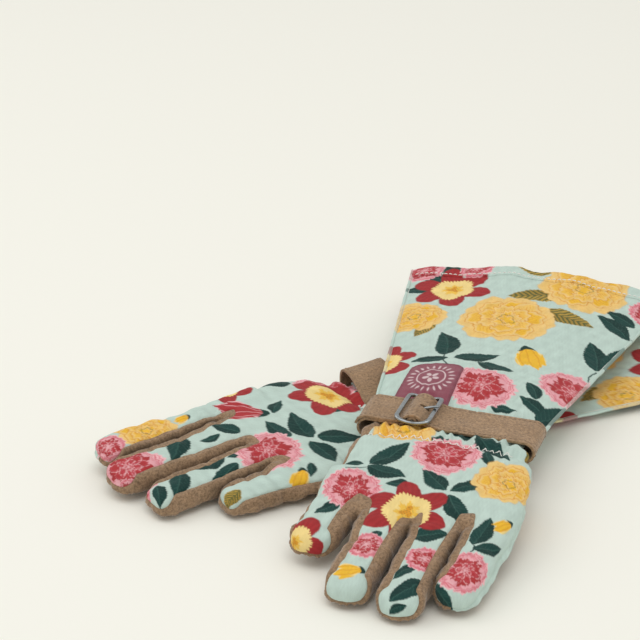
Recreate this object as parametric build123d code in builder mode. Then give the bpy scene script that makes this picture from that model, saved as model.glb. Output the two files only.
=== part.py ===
from build123d import *

import os
from dataclasses import dataclass
from math import atan, degrees

# A pair of gauntlet gardening gloves, laid back up. The left glove lies on the surface and the
# right one lies across its wrist and cuff. Each glove is drawn in its own local frame: x across
# the hand, y from the cuff's mouth to the finger tips with 0 at the wrist, z up. Sizes are in mm.

# Where the pair stands: the row's origin is under the middle of the pair.
PAIR_CENTRE = (57.9, -144.8)

# Hand and fingers
HAND_START = 26.0          # y where the hand begins, at the gathered wrist
WRIST_HALF = 42.0          # half the hand's width there
KNUCKLE_HALF = 50.5        # half the hand's width at the knuckles
KNUCKLE_LINE = 90.0        # y of the finger roots
CLOTH = 2.0                # thickness of the back and palm panels
WALL = 1.5                 # thickness of the strips between them
FINGERS = ("index", "middle", "ring", "pinky")
ROOTS = {"index": (38.2, 12.0), "middle": (12.2, 12.6), "ring": (-14.6, 11.6), "pinky": (-38.8, 11.6)}
TIP_RADIUS = {"index": 10.8, "middle": 10.8, "ring": 10.2, "pinky": 8.9}

# Thumb, folded flat under the palm
THUMB_ROOT = (31.0, 44.0)
THUMB_TIP = (8.0, 84.0)
THUMB_RADII = (12.5, 9.5)
THUMB_LAYER = 2.4

# Gathered wrist
BAND_START = 14.0
BAND_HALF = 41.0
ELASTIC_FROM = 17.0
ELASTIC_WIDTH = 6.0

# Gauntlet cuff
MOUTH = -172.0
HEM_WIDTH = 9.0
CUFF_HALF = 42.0           # half the cuff's width where it meets the wrist
CUFF_FLARE = 0.18          # how much that grows per mm towards the mouth
CUFF_CLOTH = 1.2
SEAM_GAP = 0.05

# Strap and buckle
STRAP_WIDTH = 25.4
STRAP_FROM = -4.0
STRAP_THICK = 1.2
STRAP_HALF = 47.2          # from the wrist's middle to the strap's own middle at its sides
BUCKLE_X = -17.6           # towards the little finger
BAR_RADIUS = 1.0
BAR_CLEARANCE = 0.08
BAR_HEIGHT = 3.6           # centre bar above the wrist's top
FRAME_LENGTH = 31.0
FRAME_WIDTH = 20.6
FRAME_THICK = 2.0
SIDE_BAR = 3.0
END_BAR = 2.6
FRAME_ARCH = 1.8           # how far the side bars stand above the centre bar
PRONG_WIDTH = 2.0
PRONG_THICK = 1.5
PRONG_REACH = 10.6
HOLE_WIDTH = 3.0
HOLE_LENGTH = 7.6          # in the strap's slope, where the prong comes up through it

# Woven label on the back of the cuff
LABEL_WIDTH = 30.0
LABEL_FROM, LABEL_TO = -42.0, -4.4
LABEL_THICK = 0.8
LABEL_X = -21.5


@dataclass
class Glove:
    name: str
    thumb_side: int        # +1 when the thumb is at local +x
    wrist: tuple           # where the wrist's middle stands
    heading: float         # turns local +y from the row's +Y
    tips: dict             # centre of each finger's round tip
    thickness: float       # of the hand, across panels and strips
    hand_height: float     # of the palm's plane above the surface, at the wrist
    hand_pitch: float      # how much that falls per mm towards the finger tips
    hand_roll: float       # how much it rises per mm towards the thumb
    wrist_z: tuple         # lowest, middle and top height of the wrist's section
    mouth_z: tuple         # the same at the cuff's mouth

    def place(self):
        x, y = self.wrist
        return Location((x - PAIR_CENTRE[0], y - PAIR_CENTRE[1], 0), (0, 0, self.heading))

    def hand_plane(self, height=0.0):
        pitch = -degrees(atan(self.hand_pitch))
        roll = -degrees(atan(self.hand_roll)) * self.thumb_side
        tilt = Location((0, 0, self.hand_height), (pitch, roll, 0))
        return Plane(self.place() * tilt).offset(height)

    def section_plane(self, y):
        """Plane across the glove at local y. Its x is across the hand and its y is up."""
        return Plane(self.place() * Location((0, y, 0), (90, 0, 0)))

    def at(self, x, y):
        """A point given with x towards the thumb."""
        return (self.thumb_side * x, y)

    def heights(self, y):
        """Lowest, middle and top height of the wrist and cuff at local y."""
        share = max(0.0, (BAND_START - y) / (BAND_START - MOUTH))
        return tuple(w + share * (m - w) for w, m in zip(self.wrist_z, self.mouth_z))


LEFT = Glove(
    name="left", thumb_side=1, wrist=(48.0, -121.4), heading=123.9,
    tips={"index": (38.5, 160.0), "middle": (14.5, 165.5), "ring": (-12.8, 159.0), "pinky": (-34.5, 130.0)},
    thickness=10.4, hand_height=6.8, hand_pitch=0.022, hand_roll=0.08,
    wrist_z=(1.4, 4.6, 7.6), mouth_z=(0.1, 5.8, 11.4),
)
RIGHT = Glove(
    name="right", thumb_side=-1, wrist=(71.2, -166.4), heading=161.1,
    tips={"index": (38.4, 138.5), "middle": (15.6, 152.5), "ring": (-11.5, 149.0), "pinky": (-41.5, 119.0)},
    thickness=13.0, hand_height=20.8, hand_pitch=0.125, hand_roll=0.0,
    wrist_z=(17.4, 21.8, 26.2), mouth_z=(14.6, 22.0, 30.0),
)


def finish(builder, glove, piece):
    builder.part.label = f"{glove.name}_{piece}"
    export_step(builder.part, f"parts/{builder.part.label}.step")
    return builder.part


# Hand, fingers and thumb

def hand_outline(glove):
    """The hand with its four fingers, flat, as the panels are cut."""
    with BuildSketch() as outline:
        with BuildLine():
            wrist = Line(glove.at(-WRIST_HALF, HAND_START), glove.at(WRIST_HALF, HAND_START))
            thumb_edge = ThreePointArc(wrist @ 1, glove.at(47.8, 55), glove.at(KNUCKLE_HALF, KNUCKLE_LINE))
            knuckles = Line(thumb_edge @ 1, glove.at(-KNUCKLE_HALF, KNUCKLE_LINE))
            ThreePointArc(knuckles @ 1, glove.at(-47.8, 55), wrist @ 0)
        make_face()
        for finger in FINGERS:
            root_x, root_radius = ROOTS[finger]
            with BuildSketch(mode=Mode.PRIVATE) as stall:
                with Locations(glove.at(root_x, KNUCKLE_LINE - 4)):
                    Circle(root_radius)
                with Locations(glove.at(*glove.tips[finger])):
                    Circle(TIP_RADIUS[finger])
                make_hull()
            add(stall.sketch)
    return outline.sketch


def hand_panel(glove, outline, piece, height):
    with BuildPart() as panel:
        with BuildSketch(glove.hand_plane(height)):
            add(outline)
        extrude(amount=CLOTH)
    return finish(panel, glove, piece)


def strip_regions(glove):
    """The stretches of the hand's rim that each strip covers, as closed polygons."""
    past_tips = 200.0
    roots = {f: glove.at(ROOTS[f][0], KNUCKLE_LINE - 12) for f in FINGERS}
    ends = {}
    for finger in FINGERS:
        (x0, y0), (x1, y1) = (ROOTS[finger][0], KNUCKLE_LINE - 4), glove.tips[finger]
        reach = (past_tips - y0) / (y1 - y0)
        ends[finger] = glove.at(x0 + reach * (x1 - x0), past_tips)
    regions = {}
    for a, b in zip(FINGERS, FINGERS[1:]):
        regions[f"fourchette_{a}_{b}"] = [roots[a], ends[a], ends[b], roots[b]]
    rim = HAND_START + 2 * WALL
    for finger, side in (("index", 1), ("pinky", -1)):
        regions[f"{finger}_side_strip"] = [
            glove.at(side * 20, rim), roots[finger], ends[finger],
            glove.at(side * 90, past_tips), glove.at(side * 90, rim),
        ]
    return regions


def hand_strip(glove, outline, piece, region):
    with BuildPart() as strip:
        with BuildSketch(glove.hand_plane(CLOTH)):
            add(outline)
            offset(outline, amount=-WALL, mode=Mode.SUBTRACT)
            with BuildLine():
                Polyline(*region, close=True)
            make_face(mode=Mode.INTERSECT)
        extrude(amount=glove.thickness - 2 * CLOTH)
    return finish(strip, glove, piece)


def thumb_layer(glove, piece, height):
    with BuildPart() as layer:
        with BuildSketch(glove.hand_plane(height)):
            for centre, radius in zip((THUMB_ROOT, THUMB_TIP), THUMB_RADII):
                with Locations(glove.at(*centre)):
                    Circle(radius)
            make_hull()
        extrude(amount=THUMB_LAYER)
    return finish(layer, glove, piece)


# Gathered wrist and cuff

def lens(half, low, middle, top):
    """The flattened section of a sleeve."""
    with BuildSketch() as section:
        with BuildLine():
            ThreePointArc((-half, middle), (0, top), (half, middle))
            ThreePointArc((half, middle), (0, low), (-half, middle))
        make_face()
    return section.sketch


def sleeve_ring(glove, piece, start, length, half, cloth, inset=0.0):
    """A closed loop of cloth round the wrist or the mouth."""
    low, middle, top = glove.heights(start)
    outside = lens(half - 2 * inset, low + inset, middle, top - inset)
    inset += cloth
    inside = lens(half - 2 * inset, low + inset, middle, top - inset)
    with BuildPart() as ring:
        with BuildSketch(glove.section_plane(start)):
            add(outside)
            add(inside, mode=Mode.SUBTRACT)
        extrude(amount=-length)
    return finish(ring, glove, piece)


def cuff_half_width(y):
    return CUFF_HALF + CUFF_FLARE * (BAND_START - y)


def cuff_sheet(glove, piece, upper):
    """Half of the cuff, from side seam to side seam."""
    stations = (BAND_START, -70.0, MOUTH + HEM_WIDTH)
    with BuildPart() as sheet:
        for y in stations:
            half = cuff_half_width(y)
            low, middle, top = glove.heights(y)
            seam = middle + (SEAM_GAP if upper else -SEAM_GAP)
            crest = top if upper else low
            inner = crest - CUFF_CLOTH if upper else crest + CUFF_CLOTH
            with BuildSketch(glove.section_plane(y)):
                with BuildLine():
                    ThreePointArc((-half, seam), (0, crest), (half, seam))
                    Line((half, seam), (half - 3 * CUFF_CLOTH, seam))
                    ThreePointArc((half - 3 * CUFF_CLOTH, seam), (0, inner), (3 * CUFF_CLOTH - half, seam))
                    Line((3 * CUFF_CLOTH - half, seam), (-half, seam))
                make_face()
        loft(ruled=True)
    return finish(sheet, glove, piece)


def label_patch(glove):
    middle_y = (LABEL_FROM + LABEL_TO) / 2
    low, middle, top = glove.heights(middle_y)
    half = cuff_half_width(middle_y)
    height = middle + (top - middle) * (1 - (LABEL_X / half) ** 2) + 0.6
    roll = degrees(atan(2 * (top - middle) * LABEL_X / half**2)) * glove.thumb_side
    pitch = -degrees(atan((glove.mouth_z[2] - glove.wrist_z[2]) / (BAND_START - MOUTH)))
    centre = (glove.thumb_side * LABEL_X, middle_y, height)
    plane = Plane(glove.place() * Location(centre, (pitch, roll, 0)))
    length = LABEL_TO - LABEL_FROM
    with BuildPart() as patch:
        with BuildSketch(plane):
            with BuildLine():
                left = Line((-LABEL_WIDTH / 2, length / 2), (-LABEL_WIDTH / 2, -length / 2 + 5))
                arch = ThreePointArc(left @ 1, (0, -length / 2), (LABEL_WIDTH / 2, -length / 2 + 5))
                right = Line(arch @ 1, (LABEL_WIDTH / 2, length / 2))
                Line(right @ 1, left @ 0)
            make_face()
        extrude(amount=LABEL_THICK)
    return finish(patch, glove, "label_patch")


# Strap and buckle. Heights are counted from the wrist's top, and x from the buckle's centre bar.

TAIL_HUMP = [(9.2, -1.4), (6.2, -1.1), (3.4, 1.8), (0, 3.0), (-3.6, 1.9), (-6.6, -0.9), (-9.2, -1.45), (-17, -1.5)]
END_RISE = [(-6.8, -2.75), (-3.3, -0.5), (-1.3, 1.4)]
UNDER_TAIL = 2.85          # the buckle end lies this far below the centre bar


def strap_levels(glove):
    low, _, top = glove.wrist_z
    under = low - STRAP_THICK / 2 - 0.2
    bar = top + BAR_HEIGHT
    return under, top, bar


def strap_tail(glove):
    """From under the wrist round the thumb side, through the buckle, to its free end."""
    under, top, bar = strap_levels(glove)
    flat = top + STRAP_THICK / 2 + 0.5
    turn = (flat - under) / 2
    end_turn = (bar - UNDER_TAIL - under) / 2
    with BuildPart() as tail:
        with BuildSketch(glove.section_plane(STRAP_FROM)):
            with BuildLine():
                run = Line((0.6, under), (STRAP_HALF - turn, under))
                wrap = ThreePointArc(run @ 1, (STRAP_HALF, under + turn), (STRAP_HALF - turn, flat))
                last = Line(wrap @ 1, (BUCKLE_X + 20, flat))
                hump = Spline(
                    last @ 1, *[(BUCKLE_X + x, bar + z) for x, z in TAIL_HUMP],
                    tangents=[(-1, 0), (-1, 0)],
                )
                over = Line(hump @ 1, (end_turn - STRAP_HALF, bar - 1.5))
                CenterArc(over @ 1 - (0, end_turn + 1.35), end_turn + 1.35, 90, 75)
            trace(line_width=STRAP_THICK)
        extrude(amount=-STRAP_WIDTH)
        if glove.thumb_side < 0:
            mirror(about=Plane(glove.place() * Location((0, 0, 0), (0, 90, 0))), mode=Mode.REPLACE)
        with BuildSketch(buckle_plane(glove).offset(-4)):
            with Locations((glove.thumb_side * (HOLE_LENGTH / 2 - 0.5), 0)):
                Rectangle(HOLE_LENGTH, HOLE_WIDTH)
            with Locations((glove.thumb_side * -4.6, 0)):
                Circle(1.4)
        extrude(amount=10, mode=Mode.SUBTRACT)
    return finish(tail, glove, "strap_tail")


def strap_buckle_end(glove):
    """From under the wrist round the little finger's side, and round the buckle's centre bar."""
    under, top, bar = strap_levels(glove)
    loop = BAR_RADIUS + BAR_CLEARANCE + STRAP_THICK / 2
    flat = bar - UNDER_TAIL
    turn = (flat - under) / 2
    with BuildPart() as end:
        with BuildSketch(glove.section_plane(STRAP_FROM)):
            with BuildLine():
                run = Line((-0.6, under), (turn - STRAP_HALF, under))
                wrap = ThreePointArc(run @ 1, (-STRAP_HALF, under + turn), (turn - STRAP_HALF, flat))
                last = Line(wrap @ 1, (BUCKLE_X - 10.5, flat))
                rise = Spline(
                    last @ 1, *[(BUCKLE_X + x, bar + z) for x, z in END_RISE], (BUCKLE_X, bar + loop),
                    tangents=[(1, 0), (1, 0)],
                )
                back = ThreePointArc(rise @ 1, (BUCKLE_X + loop, bar), (BUCKLE_X, bar - loop))
                Line(back @ 1, (BUCKLE_X - 2.4, bar - loop))
            trace(line_width=STRAP_THICK)
        extrude(amount=-STRAP_WIDTH)
        if glove.thumb_side < 0:
            mirror(about=Plane(glove.place() * Location((0, 0, 0), (0, 90, 0))), mode=Mode.REPLACE)
        with BuildSketch(buckle_plane(glove).offset(-2.4)):
            with Locations((glove.thumb_side * 1.0, 0)):
                Rectangle(7.0, PRONG_WIDTH + 1.4)
        extrude(amount=8, mode=Mode.SUBTRACT)
    return finish(end, glove, "strap_buckle_end")


def buckle_plane(glove):
    """Plane through the middle of the buckle, across the glove, at the centre bar."""
    bar = strap_levels(glove)[2]
    centre = (glove.thumb_side * BUCKLE_X, STRAP_FROM + STRAP_WIDTH / 2, bar)
    return Plane(glove.place() * Location(centre))


def buckle_frame(glove):
    flat = buckle_plane(glove)
    across = Plane(flat.location * Location((0, 0, 0), (90, 0, 0)))
    half_span = FRAME_WIDTH / 2 - SIDE_BAR / 2
    radius = (half_span**2 + FRAME_ARCH**2) / (2 * FRAME_ARCH)
    with BuildPart() as frame:
        with BuildSketch(across):
            with Locations((0, radius)):
                Circle(radius + FRAME_THICK / 2)
                Circle(radius - FRAME_THICK / 2, mode=Mode.SUBTRACT)
        extrude(amount=FRAME_LENGTH / 2, both=True)
        with BuildSketch(flat.offset(-FRAME_THICK)):
            RectangleRounded(FRAME_WIDTH, FRAME_LENGTH, 4.2)
            RectangleRounded(FRAME_WIDTH - 2 * SIDE_BAR, FRAME_LENGTH - 2 * END_BAR, 1.8, mode=Mode.SUBTRACT)
        extrude(amount=3 * FRAME_THICK, mode=Mode.INTERSECT)
        with BuildSketch(across):
            Circle(BAR_RADIUS)
        extrude(amount=FRAME_LENGTH / 2 - END_BAR / 2, both=True)
    return finish(frame, glove, "buckle_frame")


def buckle_prong(glove):
    """Eye round the centre bar, and a tapered tongue that rests on the side bar."""
    flat = buckle_plane(glove)
    across = Plane(flat.location * Location((0, 0, 0), (90, 0, 0)))
    side = glove.thumb_side
    eye = BAR_RADIUS + BAR_CLEARANCE
    rest = FRAME_ARCH + FRAME_THICK / 2 + 0.2
    side_bar_x = FRAME_WIDTH / 2 - SIDE_BAR / 2
    with BuildPart() as prong:
        with BuildSketch(across):
            Circle(eye + 1.0)
            with BuildLine():
                Polyline(
                    (side * 0.4, eye + 0.95), (side * side_bar_x, rest + PRONG_THICK),
                    (side * PRONG_REACH, rest + PRONG_THICK), (side * PRONG_REACH, rest + 0.75),
                    (side * 1.4, 0.35),
                    close=True,
                )
            make_face()
            Circle(eye, mode=Mode.SUBTRACT)
        extrude(amount=PRONG_WIDTH / 2, both=True)
    return finish(prong, glove, "buckle_prong")


def build_glove(glove):
    outline = hand_outline(glove)
    pieces = [
        hand_panel(glove, outline, "palm_panel", 0.0),
        hand_panel(glove, outline, "back_panel", glove.thickness - CLOTH),
        thumb_layer(glove, "thumb_inner", -THUMB_LAYER),
        thumb_layer(glove, "thumb_outer", -2 * THUMB_LAYER),
        sleeve_ring(glove, "wrist_band", BAND_START, HAND_START - BAND_START - 2, BAND_HALF, 1.2),
        sleeve_ring(glove, "wrist_elastic", ELASTIC_FROM, ELASTIC_WIDTH, BAND_HALF, 0.8, inset=1.3),
        sleeve_ring(glove, "cuff_hem", MOUTH, HEM_WIDTH, cuff_half_width(MOUTH), 2.0),
        cuff_sheet(glove, "cuff_back", upper=True),
        cuff_sheet(glove, "cuff_underside", upper=False),
        label_patch(glove),
        strap_tail(glove),
        strap_buckle_end(glove),
        buckle_frame(glove),
        buckle_prong(glove),
    ]
    for piece, region in strip_regions(glove).items():
        pieces.append(hand_strip(glove, outline, piece, region))
    return pieces


os.makedirs("parts", exist_ok=True)
pair = build_glove(LEFT) + build_glove(RIGHT)
box = Compound(children=pair).bounding_box()
print("pair from", box.min, "to", box.max)
for glove in (LEFT, RIGHT):
    plane = buckle_plane(glove)
    print(glove.name, "centre bar at", plane.origin, "along", plane.y_dir)
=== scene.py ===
import math
from dataclasses import dataclass, field

import bmesh
import bpy
import numpy as np
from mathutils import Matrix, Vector
from mathutils.bvhtree import BVHTree


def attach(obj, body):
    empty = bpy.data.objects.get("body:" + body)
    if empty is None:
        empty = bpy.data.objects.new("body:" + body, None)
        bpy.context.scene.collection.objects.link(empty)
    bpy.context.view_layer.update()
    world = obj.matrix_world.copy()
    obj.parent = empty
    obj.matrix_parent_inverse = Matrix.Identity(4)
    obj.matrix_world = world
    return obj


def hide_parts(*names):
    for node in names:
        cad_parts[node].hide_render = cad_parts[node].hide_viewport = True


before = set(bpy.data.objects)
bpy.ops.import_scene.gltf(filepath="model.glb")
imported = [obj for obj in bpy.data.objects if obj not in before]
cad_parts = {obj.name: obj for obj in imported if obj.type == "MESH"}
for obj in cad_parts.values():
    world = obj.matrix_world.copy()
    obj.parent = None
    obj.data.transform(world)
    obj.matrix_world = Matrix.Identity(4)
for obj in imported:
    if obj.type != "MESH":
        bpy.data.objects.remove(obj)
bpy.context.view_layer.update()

# A pair of gauntlet gloves. Each is worked out in its own frame, in mm: s across the hand towards
# the thumb, a along it from the cuff's mouth to the finger tips with 0 at the wrist, z up.
MM = 0.001
PAIR_CENTRE = (57.9, -144.8)
FINGERS = ("index", "middle", "ring", "pinky")
ROOT_X = {"index": 38.2, "middle": 12.2, "ring": -14.6, "pinky": -38.8}
FINGERS_FROM = 70.0        # where the fingers' axes start, inside the palm
FINGER_ROOTS = 88.0        # where the cloth of the fingers starts
VOXEL = 1.1                # grain of the hand's mesh
DRIFT_AT = (-50, -26, -1, 25, 50)
BAND_START, MOUTH = 14.0, -172.0
STRAP_FROM, STRAP_WIDTH = -4.0, 25.4
STRAP_MIDDLE = STRAP_FROM + STRAP_WIDTH / 2
STRAP_HALF = 47.2          # half the width of the strap's loop round the wrist
BUCKLE_X = -17.6


@dataclass
class Glove:
    name: str
    side: int            # +1 when the thumb is at local +x
    wrist: tuple
    heading: float
    tips: dict
    root_half: dict      # half widths of the fingers
    tip_half: dict
    seam: tuple          # height of the back's seam in the gaps, on the outer side, at the tips
    mid_line: tuple      # (a, z) pairs of the hand's middle surface
    half_line: tuple     # (a, half thickness) pairs of the palm
    finger_half: float   # half thickness of the fingers
    roll: float
    elastic: float       # how far along the hand the elastic is sewn
    web: tuple           # (s, a) of finger gaps that end farther out than the palm
    gather: float        # depth of the gathers at the wrist
    yawn: float          # how far the cuff's mouth gapes beyond its even arch
    drift: tuple         # (a, mm at each of DRIFT_AT): how far the hand leans towards the thumb
    palm_plane: tuple    # height of the palm's underside, its fall along the hand, its rise across
    wrist_z: tuple       # the cuff's underside, side seams and top at the wrist
    mouth_z: tuple       # the same at the mouth
    seed: int
    motifs: list = field(default_factory=list)

    def body(self):
        return f"{self.name}_glove"

    def row(self, p):
        p = np.asarray(p, float).reshape(-1, 3)
        h = math.radians(self.heading)
        x, y = self.side * p[:, 0], p[:, 1]
        return MM * np.c_[
            self.wrist[0] - PAIR_CENTRE[0] + x * math.cos(h) - y * math.sin(h),
            self.wrist[1] - PAIR_CENTRE[1] + x * math.sin(h) + y * math.cos(h),
            p[:, 2],
        ]

    def heights(self, y):
        share = np.clip((BAND_START - y) / (BAND_START - MOUTH), 0, None)
        return tuple(w + share * (m - w) for w, m in zip(self.wrist_z, self.mouth_z))


def rgb(code):
    """Linear colour from an sRGB hex code."""
    c = np.array([int(code[i:i + 2], 16) for i in (0, 2, 4)]) / 255
    return np.where(c <= 0.04045, c / 12.92, ((c + 0.055) / 1.055) ** 2.4)


def waves(p, size, seed, count=7):
    """A smooth field of about unit height whose bumps are about size mm apart."""
    draw = np.random.default_rng(seed)
    total = 0
    for _ in range(count):
        d = draw.normal(size=p.shape[1])
        d /= np.linalg.norm(d)
        pace = 2 * math.pi / size * draw.uniform(0.7, 1.5)
        total = total + np.sin(p @ d * pace + draw.uniform(0, 6.28))
    return total / math.sqrt(count)


def step(lo, hi, x):
    t = np.clip((x - lo) / (hi - lo), 0, 1)
    return t * t * (3 - 2 * t)


# ---------------------------------------------------------------- print on the cotton

MINT = rgb("C3D8CF")
LEAF, LEAF_VEIN = rgb("173B37"), rgb("456F65")
OCHRE, OCHRE_DARK = rgb("A98B3F"), rgb("4A5A34")
PINK, PALE_PINK, CRIMSON = rgb("E4939F"), rgb("F0BDC2"), rgb("B0383C")
RED, DARK_RED = rgb("A83134"), rgb("7E2430")
ROSE = rgb("D3596B")
YELLOW, PALE_YELLOW, AMBER = rgb("F1BE36"), rgb("F5DB92"), rgb("DC962A")
APRICOT = rgb("F1CD86")


def soft(x, width=0.45):
    return np.clip(0.5 + x / width, 0, 1)[:, None]


def over(colour, new, mask):
    return colour * (1 - mask) + new * mask


def oval(x, y, turn, reach, half_length, half_width):
    """Distance inside an oval that points away from the origin."""
    u = x * math.cos(turn) + y * math.sin(turn) - reach
    v = y * math.cos(turn) - x * math.sin(turn)
    return (1 - np.hypot(u / half_length, v / half_width)) * min(half_length, half_width)


def leaf(c, x, y, size, tone=0):
    length, half = size, size * 0.26
    t = np.clip(x / length, 0, 1)
    teeth = 1 - 0.09 * np.abs(2 * ((x / length * 14) % 1) - 1)
    y = y - 0.06 * length * np.sin(math.pi * t)
    inside = half * np.sin(math.pi * t ** 0.8) ** 0.9 * teeth - np.abs(y)
    inside = np.where((x > 0) & (x < length), inside, -9)
    base, vein = (OCHRE, OCHRE_DARK) if tone else (LEAF, LEAF_VEIN)
    c = over(c, base * np.where(y > 0, 0.95, 1.25)[:, None], soft(inside))
    side = ((x - 0.9 * np.abs(y)) / (length / 9)) % 1
    if tone:
        lines = np.maximum(soft(0.24 - np.abs(y)), soft(0.24 - np.abs(side - 0.5), 0.1))
        return over(c, vein, lines * soft(inside - 0.4) * 0.85)
    lines = np.maximum(soft(0.16 - np.abs(y)), 0.35 * soft(0.07 - np.abs(side - 0.5), 0.1))
    return over(c, vein, lines * soft(inside - 0.6) * 0.8)


def stem(c, x, y, size, tone=0):
    bend = 0.12 * size * np.sin(math.pi * np.clip(x / size, 0, 1))
    inside = np.where((x > 0) & (x < size), 0.42 - np.abs(y - bend), -9)
    return over(c, LEAF, soft(inside))


def cosmos(c, x, y, size, tone=0):
    r, f = np.hypot(x, y) / size, np.arctan2(y, x)
    shade = 0.95 + 0.07 * np.sin(34 * f + 9 * r)
    petals = ((0.1, 1.0), (1.15, 0.92), (2.2, 1.03), (3.15, 0.95), (4.25, 1.0), (5.2, 0.9))
    for k, (turn, long) in enumerate(petals):
        d = oval(x, y, turn, 0.60 * size * long, 0.40 * size, 0.29 * size)
        c = over(c, DARK_RED, soft(d + 0.25) * soft(0.45 - d) * (k % 2) * 0.6)
        c = over(c, RED * shade[:, None], soft(d))
    fringe = 0.48 + 0.06 * np.abs(np.sin(19 * f)) + 0.03 * np.sin(5 * f + 1)
    c = over(c, PALE_YELLOW, soft((fringe - r) * size))
    c = over(c, YELLOW, soft((0.24 + 0.05 * np.sin(7 * f + 2) + 0.03 * np.sin(23 * f) - r) * size) * 0.8)
    c = over(c, AMBER, soft((0.13 + 0.05 * np.sin(3 * f) - r) * size) * 0.9)
    dots = np.sin(x * 3.1) * np.sin(y * 3.1) > 0.45
    return over(c, OCHRE_DARK, dots[:, None] * soft((0.15 - r) * size) * 0.4)


def carnation(c, x, y, size, tone=0):
    r, f = np.hypot(x, y) / size, np.arctan2(y, x)
    lace = 0.035 * np.sin(23 * f + 2 * np.sin(3 * f)) + 0.02 * np.sin(41 * f)
    outer = 0.97 - 0.07 * np.abs(np.sin(4.5 * f + 0.6)) + lace
    c = over(c, PALE_PINK, soft((outer - r) * size))
    for at, width in ((0.87, 0.32), (0.79, 0.45), (0.72, 0.3)):
        wave = at + 0.035 * np.sin(8 * f + 7 * at) + lace * 0.8
        c = over(c, ROSE, soft(width - np.abs(r - wave) * size) * soft((outer - 0.04 - r) * size) * 0.8)
    band = soft((0.74 + 0.05 * np.sin(6 * f) - r) * size, 2.0)
    c = over(c, PINK, band * 0.5)
    heart = 0.59 + 0.07 * np.sin(5 * f + 1) + 0.045 * np.sin(13 * f + 1) + lace
    c = over(c, CRIMSON * (1.15 - 0.3 * r)[:, None], soft((heart - r) * size, 0.6))
    inner = soft((heart - 0.03 - r) * size)
    for ring, (count, reach, long, wide) in enumerate(((7, 0.33, 0.23, 0.13), (5, 0.16, 0.16, 0.10))):
        for k in range(count):
            turn = 2 * math.pi * k / count + 0.5 * ring + 0.25 * math.sin(3 * k)
            d = oval(x, y, turn, reach * size, long * size, wide * size)
            broken = np.sin(3.3 * x + 2.1 * y + k) > -0.5
            c = over(c, PALE_PINK, soft(0.20 - np.abs(d)) * inner * broken[:, None] * 0.75)
            c = over(c, ROSE, soft(0.15 - np.abs(d - 0.9)) * inner * 0.5)
    return c


def peony(c, x, y, size, tone=0):
    r, f = np.hypot(x, y) / size, np.arctan2(y, x)
    streak = np.abs(np.sin(21 * f + 5 * np.sin(9 * r)))
    rings = ((9, 0.62, 0.35, 0.36), (8, 0.47, 0.31, 0.29), (6, 0.31, 0.26, 0.23), (5, 0.15, 0.19, 0.15))
    for ring, (count, reach, long, wide) in enumerate(rings):
        for k in range(count):
            turn = 2 * math.pi * k / count + 0.7 * ring + 0.16 * math.sin(5 * k + ring)
            stretch = 1 + 0.10 * math.sin(2.3 * k + ring)
            warm = (0.2, 1.0, 0.8, 1.0)[ring] * (0.72 + 0.28 * math.sin(2.7 * k + ring))
            d = oval(x, y, turn, reach * size, long * size * stretch, wide * size)
            d = d + 0.026 * size * np.sin(17 * f + k)
            c = over(c, AMBER, soft(d + 0.45) * (0.3, 0.95, 0.95, 0.9)[ring])
            c = over(c, APRICOT, soft(d))
            c = over(c, YELLOW, soft(d - 0.05 * size, 1.2) * warm)
            strong = (0.2, 0.7, 0.75, 0.8)[ring]
            c = over(c, AMBER, soft(0.34 - streak) * soft(d - 0.09 * size, 1.0) * strong)
    c = over(c, OCHRE_DARK, soft(0.24 - np.abs(r - 0.17 - 0.02 * np.sin(5 * f)) * size) * 0.7)
    return over(c, YELLOW, soft((0.10 + 0.03 * np.sin(5 * f) - r) * size) * 0.9)


def bud(c, x, y, size, tone=0):
    half = size * 0.30
    t = np.clip(x / size, 0, 1)
    tips = 1 - 0.22 * np.abs(np.sin(2.3 * y / half + 0.5))
    inside = half * np.sin(math.pi * t ** 1.15 * 0.86) ** 0.7 - np.abs(y)
    inside = np.where(x > 0, np.minimum(inside, tips * size - x), -9)
    base, line = ((YELLOW, AMBER), (CRIMSON, PALE_PINK), (PINK, CRIMSON))[tone]
    c = over(c, (PALE_YELLOW, PALE_PINK, PALE_PINK)[tone], soft(inside))
    c = over(c, base, soft(inside - 0.5 + 0.8 * np.sin(y * 2.4), 0.8))
    for bend in (-0.17, 0.02, 0.2):
        c = over(c, line, soft(0.28 - np.abs(y - bend * size * np.sin(2.6 * t))) * soft(inside) * 0.75)
    return over(c, LEAF, soft(inside + 0.5) * soft(size * 0.13 - x + 0.35 * np.abs(y)))


MOTIF = {"leaf": leaf, "stem": stem, "cosmos": cosmos, "carn": carnation, "peony": peony, "bud": bud}


def leaves(*places, tone=0):
    """Leaves given by (s, a, direction in degrees, length)."""
    return [("leaf", *place, tone) for place in places]


def painted(p, motifs, seed):
    """The print's colour at points p of the flat cloth."""
    drift = np.c_[waves(p, 34, seed), waves(p, 34, seed + 1)] * 0.5
    p = p + drift + np.c_[waves(p, 5, seed + 2), waves(p, 5, seed + 3)] * 0.16
    c = np.repeat(MINT[None, :], len(p), 0)
    for kind, s, a, turn, size, tone in motifs:
        t = math.radians(turn)
        d = p - (s, a)
        near = np.nonzero(np.hypot(d[:, 0], d[:, 1]) < size * 1.3 + 1)[0]
        if len(near) == 0:
            continue
        d = d[near]
        x = d[:, 0] * math.cos(t) + d[:, 1] * math.sin(t)
        y = d[:, 1] * math.cos(t) - d[:, 0] * math.sin(t)
        c[near] = MOTIF[kind](c[near], x, y, size, tone)
    faded = 1 + 0.035 * waves(p, 9, seed + 5) + 0.02 * waves(p, 2.2, seed + 6)
    return np.clip(c * faded[:, None], 0, 1)


# ---------------------------------------------------------------- materials

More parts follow.
